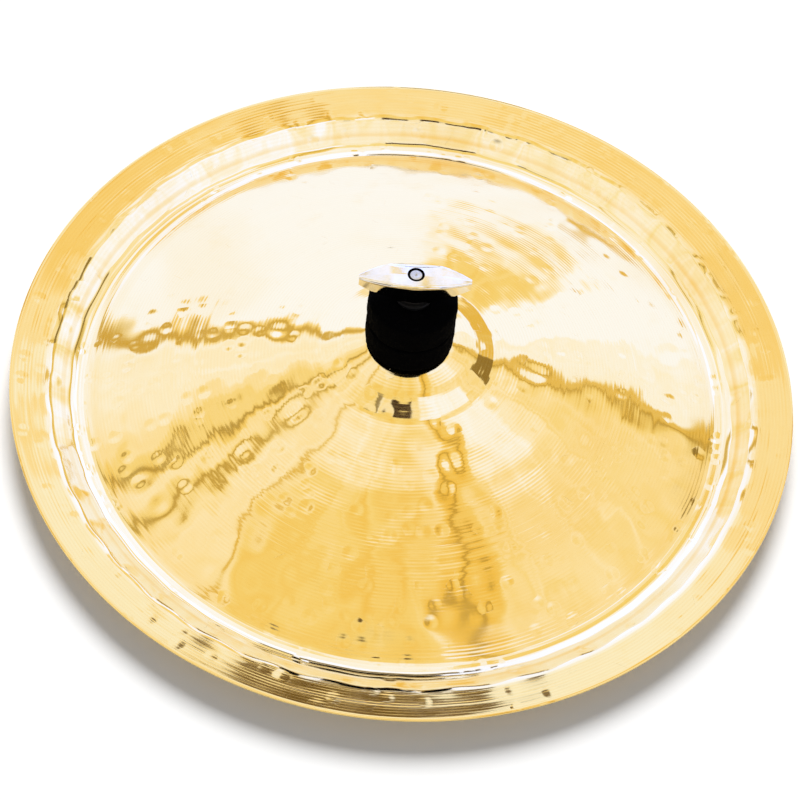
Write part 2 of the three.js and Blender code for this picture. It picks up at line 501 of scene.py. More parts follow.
def new_material(name: str) -> tuple[bpy.types.Material, Graph, bpy.types.Node]:
    """Makes a material with one Principled shader.

    Args:
        name: The material's name.

    Returns:
        The material, its graph and its shader.
    """
    material = bpy.data.materials.new(name)
    material.use_nodes = True
    graph = Graph(material.node_tree)
    shader = next(n for n in material.node_tree.nodes if n.type == "BSDF_PRINCIPLED")
    return material, graph, shader


def radius_of(graph: Graph) -> tuple[Socket, Socket]:
    """Gives the distance from the Z axis.

    Args:
        graph: The material's graph.

    Returns:
        The radius in metres, and the object position.
    """
    place = graph.position()
    flat = graph.vector("MULTIPLY", place, (1.0, 1.0, 0.0))
    return graph.vector("LENGTH", flat), place


def turned_sheen(graph: Graph, shader: bpy.types.Node, amount: float) -> None:
    """Makes a shader metal whose highlights are drawn out as on a turned piece.

    Args:
        graph: The material's graph.
        shader: The shader.
        amount: How far they are drawn out.
    """
    shader.inputs["Metallic"].default_value = 1.0
    shader.inputs["Anisotropic"].default_value = amount
    tangent = graph.node("ShaderNodeTangent", direction_type="RADIAL", axis="Z")
    graph.plug(shader.inputs["Tangent"], tangent.outputs[0])


# Finishes


@dataclass(frozen=True)
class BronzeFinish:
    """Cast bronze, hammered, lathed and polished to a bright gold.

    The rings are radii in metres, and the last shares say how much amber each mark adds.
    The amber on the lathe lines, in the thin ring on the wall and in the crease is
    painted shade; the broad clouds and spots are the bronze's own uneven tone.
    """

    effects: Effects
    gold: Colour = (0.965, 0.80, 0.44, 1.0)
    amber: Colour = (0.93, 0.64, 0.20, 1.0)
    band_gold: Colour = (0.955, 0.72, 0.28, 1.0)
    wall_gold: Colour = (0.97, 0.88, 0.62, 1.0)
    line_pitch: float = 0.0015
    line_slope: float = 0.045
    line_chatter: float = 0.012
    dent_size: float = 0.0075
    bell_edge: Span = (0.040, 0.044)
    heavy_ring: Span = (0.091, 0.110)
    calm_ring: Span = (0.122, 0.1365)
    crease: Span = (0.137, 0.1445)
    trough: Span = (0.1425, 0.161)
    # Painted shade: a thin darker amber ring across the middle of the wall; the sheet has no groove
    # there.
    wall: Span = (0.150, 0.161)
    shade_ring: Span = (0.1535, 0.1550)
    band_edge: Span = (0.1615, 0.164)
    ring_edge: float = 0.0015
    cloudy: float = 0.22
    spotted: float = 0.12
    # Painted shade: deeper amber on one flank of each lathe ring, stronger on the band.
    line_shade: float = 0.14
    band_line_shade: float = 0.30
    shade_ring_share: float = 0.8
    # Painted shade: deeper amber in the crease.
    crease_shade: float = 0.12
    roughness: float = 0.055

    def build(self) -> bpy.types.Material:
        """Makes the material.

        Returns:
            The bronze.
        """
        material, graph, shader = new_material("lathed_bronze")
        radius, place = radius_of(graph)
        crease = graph.window(radius, *self.crease, self.ring_edge)
        band = graph.ramp(radius, *self.band_edge)
        lines = self.effects.lines.place(graph, pitch=self.line_pitch, slope=self.line_slope,
                                         reach=self.reach(graph, radius, crease, band),
                                         chatter=self.line_chatter)
        dents = self.effects.dents.place(graph, size=self.dent_size, amount=0.33)
        wear = self.effects.wear.place(graph, scale=42.0, scratches=0.35)
        height = graph.math("MULTIPLY_ADD", wear["Height"], 0.02, dents["Height"])
        graph.plug(shader.inputs["Normal"], graph.bump(height, 0.00010, normal=lines["Normal"]))
        # The broad clouds and spots are the bronze's own uneven tone; the lathe lines, the wall ring
        # and the crease add painted shade.
        broad = graph.noise(place, 9.0, 3.0, 0.55, 0.3)
        spots = graph.noise(place, 55.0, 3.0, 0.6)
        line_shade = graph.math("MULTIPLY_ADD", band, self.band_line_shade, self.line_shade)
        # Painted shade ring on the wall, broken up by the broad noise.
        shade_ring = graph.math("MULTIPLY", graph.window(radius, *self.shade_ring, 0.0007), broad)
        tone_and_shade = graph.math("MULTIPLY", graph.ramp(broad, 0.48, 0.66), self.cloudy)
        tone_and_shade = graph.math("MULTIPLY_ADD", graph.ramp(spots, 0.55, 0.75), self.spotted, tone_and_shade)
        # Painted shade on the lathe rings, in step with their tilted normals.
        tone_and_shade = graph.math("MULTIPLY_ADD", lines["Line"], line_shade, tone_and_shade)
        tone_and_shade = graph.math("MULTIPLY_ADD", shade_ring, self.shade_ring_share, tone_and_shade)
        # Painted shade in the crease.
        tone_and_shade = graph.math("MULTIPLY_ADD", crease, self.crease_shade, tone_and_shade, clamp=True)
        trough = graph.window(radius, *self.trough, self.ring_edge)
        zone = graph.mix(trough, self.gold, self.wall_gold)
        zone = graph.mix(band, zone, self.band_gold)
        graph.plug(shader.inputs["Base Color"], graph.mix(tone_and_shade, zone, self.amber))
        rough = graph.math("MULTIPLY_ADD", wear["Haze"], 0.035, self.roughness)
        rough = graph.math("MULTIPLY_ADD", wear["Scratch"], 0.08, rough)
        rough = graph.math("MULTIPLY_ADD", band, 0.03, rough)
        graph.plug(shader.inputs["Roughness"], rough)
        turned_sheen(graph, shader, 0.55)
        shader.inputs["Anisotropic Rotation"].default_value = 0.25
        return material

    def reach(self, graph: Graph, radius: Socket, crease: Socket, band: Socket) -> Socket:
        """Says how deep the lathe lines are at each radius.

        Args:
            graph: The material's graph.
            radius: The distance from the axis.
            crease: A mask of the crease.
            band: A mask of the rim band.

        Returns:
            The depth of the lines, as a share of the full depth.
        """
        heavy = graph.window(radius, *self.heavy_ring, 0.002)
        reach = graph.ramp(radius, *self.bell_edge, 0.45, 0.62)
        for mask, share in ((heavy, 0.55), (crease, 0.8), (band, 0.9)):
            reach = graph.math("ADD", reach, graph.math("MULTIPLY", mask, share))
        wall = graph.window(radius, *self.wall, self.ring_edge)
        calm = graph.math("MULTIPLY", graph.window(radius, *self.calm_ring, 0.003), -0.9)
        calm = graph.math("MULTIPLY_ADD", wall, -0.8, calm)
        return graph.math("MULTIPLY", reach, graph.math("ADD", calm, 1.0))


@dataclass(frozen=True)
class TurnedMetalFinish:
    """Steel or chrome plate with fine turning marks and handling wear."""

    effects: Effects
    name: str
    bright: Colour
    dull: Colour
    roughness: float
    slope: float
    anisotropic: float = 0.3
    # Painted shade: near black between these radii, where the threads and the mouth of the nut's
    # bore lie in shade.
    thread_shade_span: Span = (0.0, 0.004)
    thread_shade: Colour = (0.02, 0.018, 0.015, 1.0)

    def build(self) -> bpy.types.Material:
        """Makes the material, with near-black painted shade over its threads.

        Returns:
            The metal.
        """
        material, graph, shader = new_material(self.name)
        radius, place = radius_of(graph)
        wear = self.effects.wear.place(graph, scale=130.0, scratches=0.6)
        lines = self.effects.lines.place(graph, pitch=0.0004, slope=self.slope, wander=0.6)
        graph.plug(shader.inputs["Normal"],
                   graph.bump(wear["Height"], 0.000004, normal=lines["Normal"]))
        cloud = graph.ramp(graph.noise(place, 160.0, 4.0, 0.6), 0.35, 0.7)
        shade = graph.math("MAXIMUM", graph.math("MULTIPLY", cloud, 0.6), wear["Scratch"])
        worn = graph.mix(shade, self.bright, self.dull)
        # Painted shade over the threads.
        thread = graph.window(radius, *self.thread_shade_span, 0.00008)
        graph.plug(shader.inputs["Base Color"], graph.mix(thread, worn, self.thread_shade))
        rough = graph.math("MULTIPLY_ADD", wear["Haze"], 0.08, self.roughness)
        rough = graph.math("MULTIPLY_ADD", wear["Scratch"], 0.12, rough)
        graph.plug(shader.inputs["Roughness"], rough)
        turned_sheen(graph, shader, self.anisotropic)
        return material


@dataclass(frozen=True)
class FeltFinish:
    """Dense pressed wool felt, dyed black."""

    effects: Effects
    black: Colour = (0.0012, 0.0012, 0.0016, 1.0)
    lint: Colour = (0.0055, 0.0055, 0.0065, 1.0)

    def build(self) -> bpy.types.Material:
        """Makes the material.

        Returns:
            The felt.
        """
        material, graph, shader = new_material("pressed_black_felt")
        place = graph.position()
        wool = graph.noise(place, 900.0, 5.0, 0.75, 1.2)
        clump = graph.noise(place, 220.0, 4.0, 0.6, 0.8)
        wear = self.effects.wear.place(graph, scale=400.0, scratches=1.0)
        fleck = graph.math("MULTIPLY_ADD", graph.ramp(wool, 0.5, 0.8), 0.5,
                           graph.math("MULTIPLY", wear["Scratch"], 0.5), clamp=True)
        graph.plug(shader.inputs["Base Color"], graph.mix(fleck, self.black, self.lint))
        graph.plug(shader.inputs["Roughness"], graph.ramp(clump, 0.3, 0.7, 0.88, 1.0))
        height = graph.math("MULTIPLY_ADD", clump, 1.5, wool)
        height = graph.math("MULTIPLY_ADD", wear["Scratch"], 0.4, height)
        graph.plug(shader.inputs["Normal"], graph.bump(height, 0.0004, 0.8))
        shader.inputs["Specular IOR Level"].default_value = 0.02
        return material


@dataclass(frozen=True)
class PlasticFinish:
    """Black moulded nylon with a faint sparked texture."""

    effects: Effects
    black: Colour = (0.009, 0.009, 0.010, 1.0)
    scuffed: Colour = (0.045, 0.045, 0.047, 1.0)

    def build(self) -> bpy.types.Material:
        """Makes the material.

        Returns:
            The plastic.
        """
        material, graph, shader = new_material("moulded_black_nylon")
        wear = self.effects.wear.place(graph, scale=180.0, scratches=0.8)
        grain = graph.noise(graph.position(), 2600.0, 2.0, 0.5)
        graph.plug(shader.inputs["Base Color"],
                   graph.mix(wear["Scratch"], self.black, self.scuffed))
        graph.plug(shader.inputs["Roughness"],
                   graph.math("MULTIPLY_ADD", wear["Haze"], 0.18, 0.36))
        height = graph.math("ADD", grain, wear["Height"])
        graph.plug(shader.inputs["Normal"], graph.bump(height, 0.00002))
        shader.inputs["Specular IOR Level"].default_value = 0.12
        return material


# Mesh helpers


@dataclass(frozen=True)
class Corner:
    """A corner of an outline, by radius and height, with its rounding."""

    radius: float
    height: float
    fillet: float = 0.0


def unit(vector: Array) -> Array:
    """Scales a vector to length 1."""
    return vector / np.linalg.norm(vector)


def rounded_line(corners: list[Corner], turn: float = math.radians(4)) -> Array:
    """Rounds the corners of a line.

    Args:
        corners: The corners in order; one without a fillet stays sharp.
        turn: The most that a rounding turns between two points.

    Returns:
        The points, as rows of radius and height.
    """
    places = [np.array([c.radius, c.height]) for c in corners]
    points: list[Array] = []
    for index, corner in enumerate(corners):
        here = places[index]
        if corner.fillet == 0:
            points.append(here)
            continue
        back = unit(places[index - 1] - here)
        ahead = unit(places[index + 1] - here)
        half = math.acos(float(np.dot(back, ahead))) / 2
        centre = here + unit(back + ahead) * corner.fillet / math.sin(half)
        start = here + back * corner.fillet / math.tan(half) - centre
        side = -np.sign(back[0] * ahead[1] - back[1] * ahead[0])
        sweep = (math.pi - 2 * half) * side
        steps = max(3, math.ceil(abs(sweep) / turn))
        for step in range(steps + 1):
            angle = sweep * step / steps
            cos, sin = math.cos(angle), math.sin(angle)
            turned = np.array([start[0] * cos - start[1] * sin, start[0] * sin + start[1] * cos])
            points.append(centre + turned)
    return np.array(points)


def resampled(at: Array, along: Array, rows: Array) -> Array:
    """Looks up rows of two numbers at other places along a line."""
    return np.stack([np.interp(at, along, rows[:, k]) for k in (0, 1)], 1)


def evened(points: Array, spacing: Callable[[Array], Array]) -> tuple[Array, Array]:
    """Spaces points along a line.

    Args:
        points: The line's points.
        spacing: The wanted spacing at each radius.

    Returns:
        The new points, and the line's left-hand normals there.
    """
    steps = np.linalg.norm(np.diff(points, axis=0), axis=1)
    along = np.concatenate([[0.0], np.cumsum(steps)])
    fine = np.linspace(0.0, along[-1], FINE_STEPS)
    line = resampled(fine, along, points)
    padded = np.pad(line, ((SMOOTHING // 2,) * 2, (0, 0)), mode="reflect", reflect_type="odd")
    weights = np.ones(SMOOTHING) / SMOOTHING
    smooth = np.stack([np.convolve(padded[:, k], weights, "valid") for k in (0, 1)], 1)
    run = np.gradient(smooth, axis=0)
    run /= np.linalg.norm(run, axis=1, keepdims=True)
    left = np.stack([-run[:, 1], run[:, 0]], 1)
    density = 1.0 / spacing(smooth[:, 0])
    share = np.concatenate([[0.0], np.cumsum((density[1:] + density[:-1]) / 2 * np.diff(fine))])
    count = max(2, int(math.ceil(share[-1])))
    wanted = np.linspace(0.0, share[-1], count + 1)
    at = np.interp(wanted, share, fine)
    return resampled(at, fine, smooth), resampled(at, fine, left)


def ring_faces(rows: int, columns: int, closed: bool = True) -> Array:
    """Lists the quads between rings of vertices.

    Args:
        rows: How many rings.
        columns: How many vertices in a ring.
        closed: Whether the last ring joins the first.

    Returns:
        The quads, as rows of four indices.
    """
    upper = np.arange(rows if closed else rows - 1)
    lower = (upper + 1) % rows
    here = np.arange(columns)
    there = (here + 1) % columns
    quads = np.stack([
        upper[:, None] * columns + here[None, :],
        upper[:, None] * columns + there[None, :],
        lower[:, None] * columns + there[None, :],
        lower[:, None] * columns + here[None, :],
    ], -1)
    return quads.reshape(-1, 4)


def levels(node: str) -> tuple[float, float]:
    """Gives the heights of a node's foot and top, in millimetres."""
    low, high = (float(corner[2]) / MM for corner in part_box(node))
    return low, high


def spun(section: Array, columns: int) -> Array:
    """Turns a section about the Z axis.

    Args:
        section: Rows of radius and height.
        columns: How many vertices in each ring.

    Returns:
        The vertices, ring after ring.
    """
    angle = np.arange(columns) * math.tau / columns
    x = section[:, :1] * np.cos(angle)
    y = section[:, :1] * np.sin(angle)
    z = np.repeat(section[:, 1:2], columns, axis=1)
    return np.stack([x, y, z], -1).reshape(-1, 3)


def make_object(name: str, vertices: Array, faces: Array | list[list[int]],
                material: bpy.types.Material) -> bpy.types.Object:
    """Makes a smooth mesh object whose faces look outward.

    Args:
        name: The object's name.
        vertices: Points in millimetres.
        faces: Lists of vertex indices.
        material: The object's material.

    Returns:
        The object.
    """
    mesh = bpy.data.meshes.new(name)
    listed = faces.tolist() if isinstance(faces, np.ndarray) else faces
    mesh.from_pydata((np.asarray(vertices) * MM).tolist(), [], listed)
    work = bmesh.new()
    work.from_mesh(mesh)
    bmesh.ops.recalc_face_normals(work, faces=work.faces)
    work.to_mesh(mesh)
    work.free()
    mesh.shade_smooth()
    mesh.materials.append(material)
    made = bpy.data.objects.new(name, mesh)
    bpy.context.scene.collection.objects.link(made)
    return made


def apply_modifiers(made: bpy.types.Object) -> None:
    """Replaces an object's mesh by the one that its modifiers give.

    Args:
        made: The object.
    """
    depsgraph = bpy.context.evaluated_depsgraph_get()
    mesh = bpy.data.meshes.new_from_object(made.evaluated_get(depsgraph))
    made.modifiers.clear()
    old = made.data
    made.data = mesh
    bpy.data.meshes.remove(old)


def smooth_share(value: Array, low: float, high: float) -> Array:
    """Rises smoothly from 0 to 1 between two values."""
    share = np.clip((value - low) / (high - low), 0.0, 1.0)
    return share * share * (3.0 - 2.0 * share)


# Cymbal


@dataclass(frozen=True)
class Wave:
    """A family of long waves: how many, the shortest, the longest and their steepness."""

    count: int
    short: float
    long: float
    steep: float


@dataclass(frozen=True)
class BlowRow:
    """A ring of hammer blows: its radius, how many, and their width, length and depth."""

    radius: float
    count: int
    across: float
    along: float
    depth: float


@dataclass
class CymbalSheet:
    """The cymbal: bell, bow, pressed crease, hammered wall and lathed rim band."""

    finish: BronzeFinish
    rim_radius: float = 177.76
    band_width: float = 16.8
    wall_width: float = 14.3
    crease_land: float = 6.0
    bell_radius: float = 39.8
    bell_side_width: float = 10.4
    crown_share: float = 0.48
    hole_radius: float = 6.35
    band_rise: float = 4.1
    wall_rise: float = 8.8
    bow_rise: float = 32.0
    bow_crown: float = 2.8
    bell_rise: float = 5.1
    dome_rise: float = 3.1
    crown_rise: float = 0.1
    bell_thickness: float = 1.1
    rim_thickness: float = 0.75
    flattened: float = 0.03
    scallop_depth: float = 0.5
    scallop_count: int = 40
    blow_rings: tuple[float, ...] = (50.0, 64.0, 77.0, 90.0, 103.0, 116.0, 128.0)
    blow_spacing: float = 14.0
    blow_size: Span = (2.5, 3.8)
    blow_depth: float = 0.02
    blow_more: float = 0.12
    blow_stray: float = 3.5
    hard_blows: tuple[float, ...] = (-1.0, 174.0, 220.0, 294.0)
    hard_blow_radius: float = 59.5
    hard_blow_size: float = 2.7
    hard_blow_depth: float = 0.26
    waves: tuple[Wave, ...] = (Wave(26, 34.0, 95.0, 0.00052), Wave(44, 11.0, 30.0, 0.00055))
    wall_blows: tuple[BlowRow, ...] = (BlowRow(156.5, 88, 2.4, 2.0, 0.07),
                                       BlowRow(161.5, 96, 2.4, 1.6, 0.05))
    dent_start: Span = (41.0, 52.0)
    dent_end: Span = (126.0, 139.0)
    columns: int = 384
    seed: int = 23

    def middle(self) -> Array:
        """Draws the middle of the sheet from the hole to the rim.

        Returns:
            Rows of radius and height over the crease.
        """
        band = self.rim_radius - self.band_width
        inner = band - self.wall_width - self.crease_land / 2
        outer = inner + self.crease_land
        side = self.bow_rise + self.bell_rise
        dome = side + self.dome_rise
        return rounded_line([
            Corner(self.hole_radius, dome + self.crown_rise),
            Corner(self.bell_radius * self.crown_share, dome, 9.0),
            Corner(self.bell_radius - self.bell_side_width, side, 30.0),
            Corner(self.bell_radius, self.bow_rise, 12.0),
            Corner((self.bell_radius + inner) / 2, self.bow_rise / 2 + self.bow_crown, 820.0),
            Corner(inner, 0.0, 8.0),
            Corner(outer, 0.0, 8.0),
            Corner(band, self.wall_rise, 9.0),
            Corner(self.rim_radius, self.wall_rise + self.band_rise),
        ], math.radians(1.5))

    def half_thickness(self, radius: Array) -> Array:
        """Thins the sheet evenly from the bell to the rim."""
        share = (radius - self.hole_radius) / (self.rim_radius - self.hole_radius)
        return (self.bell_thickness + (self.rim_thickness - self.bell_thickness) * share) / 2

    @staticmethod
    def spacing(radius: Array) -> Array:
        """Spaces the points on the top closely over the bell, the crease and the wall."""
        return np.interp(radius, [0, 42, 50, 134, 140, 163, 168, 180],
                         [1.2, 1.2, 1.7, 1.7, 0.9, 0.9, 2.0, 1.6])

    def faces(self) -> tuple[Array, Array]:
        """Offsets the middle of the sheet to both sides and sets it down.

        Returns:
            The top and the underside, as rows of radius and height.
        """
        line = self.middle()
        sides: list[Array] = []
        for coarser, side in ((1.0, 1.0), (2.0, -1.0)):
            points, left = evened(line, lambda radius: coarser * self.spacing(radius))
            sides.append(points + left * side * self.half_thickness(points[:, :1]))
        drop = sides[1][:, 1].min() + self.flattened
        for points in sides:
            points[:, 1] -= drop
        sides[1][:, 1] = np.maximum(sides[1][:, 1], 0.0)
        return sides[0], sides[1]

    def section(self) -> Array:
        """Closes the section with rounded lips at the rim and the hole.

        Returns:
            Rows of radius and height round the section.
        """
        top, under = self.faces()
        under = under[::-1]
        return np.concatenate([top, self.lip(top[-1], under[0]), under,
                               self.lip(under[-1], top[0])])

    @staticmethod
    def lip(start: Array, end: Array) -> Array:
        """Rounds an edge of the sheet.

        Args:
            start: Where the rounding starts.
            end: Where it ends, on the other face.

        Returns:
            The points between the two.
        """
        centre = (start + end) / 2
        arm = start - centre
        out = np.array([arm[1], -arm[0]])
        angles = np.radians([36.0, 72.0, 108.0, 144.0])
        return np.array([centre + arm * math.cos(a) + out * math.sin(a) * 0.25 for a in angles])

    def hammered(self, x: Array, y: Array) -> Array:
        """Adds up the dents and waves that hammering leaves in the sheet.

        Args:
            x: Millimetres.
            y: Millimetres.

        Returns:
            How far the sheet moves up at each point.
        """
        rng = np.random.default_rng(self.seed)
        radius = np.hypot(x, y)
        lift = np.zeros_like(x)
        for wave in self.waves:
            for _ in range(wave.count):
                wavelength = rng.uniform(wave.short, wave.long)
                heading = rng.uniform(0.0, math.tau)
                phase = rng.uniform(0.0, math.tau)
                run = (x * math.cos(heading) + y * math.sin(heading)) * math.tau / wavelength
                lift += wave.steep * wavelength * np.sin(run + phase)
        on_bow = smooth_share(radius, *self.dent_start) * (1 - smooth_share(radius, *self.dent_end))
        lift *= on_bow
        dents = np.zeros_like(x)
        for ring in self.blow_rings:
            count = int(round(math.tau * ring / self.blow_spacing))
            start = rng.uniform(0.0, math.tau)
            for index in range(count):
                at = ring + rng.uniform(-self.blow_stray, self.blow_stray)
                angle = start + (index + rng.uniform(-0.3, 0.3)) * math.tau / count
                size = rng.uniform(*self.blow_size)
                depth = self.blow_depth + self.blow_more * rng.uniform(0.0, 1.0) ** 2
                dents += depth * self.dent(x, y, at, angle, size)
        for degrees in self.hard_blows:
            dents += self.hard_blow_depth * self.dent(
                x, y, self.hard_blow_radius, math.radians(degrees), self.hard_blow_size)
        lift -= dents * on_bow
        return lift + self.wall_dents(x, y, radius, rng)

    @staticmethod
    def dent(x: Array, y: Array, at: float, angle: float, size: float) -> Array:
        """Gives the depth of one round blow, which is 1 in its middle."""
        gap = (x - at * math.cos(angle)) ** 2 + (y - at * math.sin(angle)) ** 2
        return np.exp(-gap / (2 * size * size))

    def wall_dents(self, x: Array, y: Array, radius: Array, rng: np.random.Generator) -> Array:
        """Dents the wall and the shoulder of the band with a ring of hammer blows.

        Args:
            x: Millimetres.
            y: Millimetres.
            radius: The distance from the axis.
            rng: The random numbers.

        Returns:
            How far the sheet moves up at each point.
        """
        lift = np.zeros_like(x)
        for row in self.wall_blows:
            for index in range(row.count):
                angle = (index + rng.uniform(-0.24, 0.24)) * math.tau / row.count
                reach = row.radius + rng.uniform(-0.7, 0.7)
                out = x * math.cos(angle) + y * math.sin(angle) - reach
                side = -x * math.sin(angle) + y * math.cos(angle)
                blow = np.exp(-(out / row.along) ** 2 / 2 - (side / row.across) ** 2 / 2)
                lift -= row.depth * rng.uniform(0.55, 1.1) * blow
        return lift * smooth_share(radius, 150.0, 154.0)

    def build(self) -> bpy.types.Object:
        """Builds the sheet, its hammering and the scallops where the wall meets the band.

        Returns:
            The cymbal, which replaces its node.
        """
        section = self.section()
        points = spun(section, self.columns)
        x, y = points[:, 0], points[:, 1]
        radius = np.hypot(x, y)
        angle = np.arctan2(y, x)
        rise = self.hammered(x, y)
        band = self.rim_radius - self.band_width
        share = np.maximum(0.0, 1 - np.abs(radius - band) / self.band_width) ** 1.5
        wave = np.cos(self.scallop_count * angle + 0.9 * np.sin(3 * angle + 0.7))
        stretch = 1 + self.scallop_depth * wave * share / radius
        points = np.stack([x * stretch, y * stretch, np.maximum(points[:, 2] + rise, 0.0)], -1)
        made = make_object("cymbal_sheet", points, ring_faces(len(section), self.columns),
                           self.finish.build())
        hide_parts("cymbal")
        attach(made, Body.CYMBAL.value)
        return made


# Felts


@dataclass
class FeltStack:
    """Two felts over the bell and one below it."""

    finish: FeltFinish
    radius: float = 20.0
    lower_radius: float = 19.0
    bore: float = 5.8
    skin: float = 0.1
    outline_room: float = 0.45
    bore_edge: float = 0.8
    outline_step: float = 0.75
    belly: float = 0.22
    unevenness: float = 0.22
    sag: float = 0.12
    ripples: int = 34
    most_turns: int = 42
    slant: float = 1.1
    ripple_size: Span = (0.01, 0.06)
    columns: int = 160
    seed: int = 5
    fibres: int = 2600
    fibre_width: float = 0.028
    fibre_length: Span = (0.25, 0.85)
    fibre_root: float = 0.15

    def felt(self, name: str, node: str, radius: float, edges: Span,
             rng: np.random.Generator, material: bpy.types.Material) -> bpy.types.Object:
        """Builds one felt as a soft-edged ring with loose fibres.

        Args:
            name: The piece's name.
            node: The node that it replaces.
            radius: Its outer radius.
            edges: The rounding of its lower and its upper edge.
            rng: The random numbers.
            material: The felt.

        Returns:
            The felt.
        """
        low, high = levels(node)
        inner = self.bore + self.skin
        outer = radius - self.outline_room
        line = rounded_line([
            Corner(inner, low + 2.0), Corner(inner, low + self.skin, self.bore_edge),
            Corner(outer, low + self.skin, edges[0]), Corner(outer, high - self.skin, edges[1]),
            Corner(inner, high - self.skin, self.bore_edge), Corner(inner, low + 2.1),
        ], math.radians(12))
        section = evened(line, lambda r: np.full_like(r, self.outline_step))[0][:-1]
        points = self.rumpled(spun(section, self.columns), low, high, outer, rng)
        blades, blade_faces = self.hairs(points, low, high, outer, rng)
        faces = np.concatenate([ring_faces(len(section), self.columns),
                                blade_faces + len(points)])
        made = make_object(name, np.concatenate([points, blades]), faces, material)
        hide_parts(node)
        return made

    def rumpled(self, points: Array, low: float, high: float, outer: float,
                rng: np.random.Generator) -> Array:
        """Makes the outside of a felt slightly uneven.

        Args:
            points: The ring's points.
            low: The height of its foot.
            high: The height of its top.
            outer: Its radius.
            rng: The random numbers.

        Returns:
            The moved points.
        """
        radius = np.hypot(points[:, 0], points[:, 1])
        angle = np.arctan2(points[:, 1], points[:, 0])
        height = points[:, 2]
        push = np.zeros_like(radius)
        for _ in range(self.ripples):
            turns = int(rng.integers(1, self.most_turns))
            rate = rng.uniform(-self.slant, self.slant)
            size = rng.uniform(*self.ripple_size) * (1.0 if turns < 12 else 0.5)
            push += size * np.sin(turns * angle + rate * height + rng.uniform(0, math.tau))
        share = smooth_share(radius, outer * 0.75, outer)
        belly = self.belly * np.sin(np.clip((height - low) / (high - low), 0, 1) * math.pi)
        grown = radius + (np.clip(push, -self.unevenness, self.unevenness) + belly) * share
        sag = np.clip(push, -self.sag, self.sag) * 0.5
        sag = sag * smooth_share(radius, outer * 0.4, outer * 0.8)
        level = np.clip(height - np.abs(sag) * np.sign(height - (low + high) / 2), low, high)
        return np.stack([grown * np.cos(angle), grown * np.sin(angle), level], -1)

    def hairs(self, points: Array, low: float, high: float, outer: float,
              rng: np.random.Generator) -> tuple[Array, Array]:
        """Sets short loose fibres on the outside of a felt.

        Args:
            points: The felt's points.
            low: The height of its foot.
            high: The height of its top.
            outer: Its radius.
            rng: The random numbers.

        Returns:
            The fibres' points, and one quad for each.
        """
        radius = np.hypot(points[:, 0], points[:, 1])
        open_side = np.flatnonzero(radius > outer * 0.72)
        roots = points[rng.choice(open_side, self.fibres)]
        around = np.arctan2(roots[:, 1], roots[:, 0])
        out = np.stack([np.cos(around), np.sin(around), np.zeros_like(around)], -1)
        lean = rng.normal(0.0, 1.0, roots.shape) * [0.9, 0.9, 0.8]
        heading = out + lean
        heading /= np.linalg.norm(heading, axis=1, keepdims=True)
        heading += out * 0.25
        length = rng.uniform(*self.fibre_length, (self.fibres, 1))
        side = np.cross(heading, rng.normal(0.0, 1.0, roots.shape))
        side /= np.linalg.norm(side, axis=1, keepdims=True)
        side *= self.fibre_width
        start = roots - out * self.fibre_root
        bend = rng.normal(0.0, 0.12, roots.shape)
        end = start + heading * length * 0.5 + bend * length
        blades = np.stack([start - side, start + side, end + side * 0.8, end - side * 0.8], 1)
        blades[..., 2] = np.clip(blades[..., 2], low + 0.02, high - 0.02)
        return blades.reshape(-1, 3), np.arange(self.fibres * 4).reshape(-1, 4)

    def build(self) -> list[bpy.types.Object]:
        """Builds all three felts.

        Returns:
            The felts.
        """
        rng = np.random.default_rng(self.seed)
        material = self.finish.build()
        made = [
            self.felt("felt_on_bell", "upper_felt_bottom", self.radius, (1.8, 0.8), rng, material),
            self.felt("felt_under_nut", "upper_felt_top", self.radius, (0.8, 1.8), rng, material),
            self.felt("felt_under_bell", "lower_felt", self.lower_radius, (1.6, 2.2), rng, material),
        ]
        above, below = (0.0415, 0.0708), (0.0391, 0.0272)
        for piece, (start, end) in zip(made, (above, above, below)):
            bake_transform(piece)
        return made


# Rod, sleeve and washers


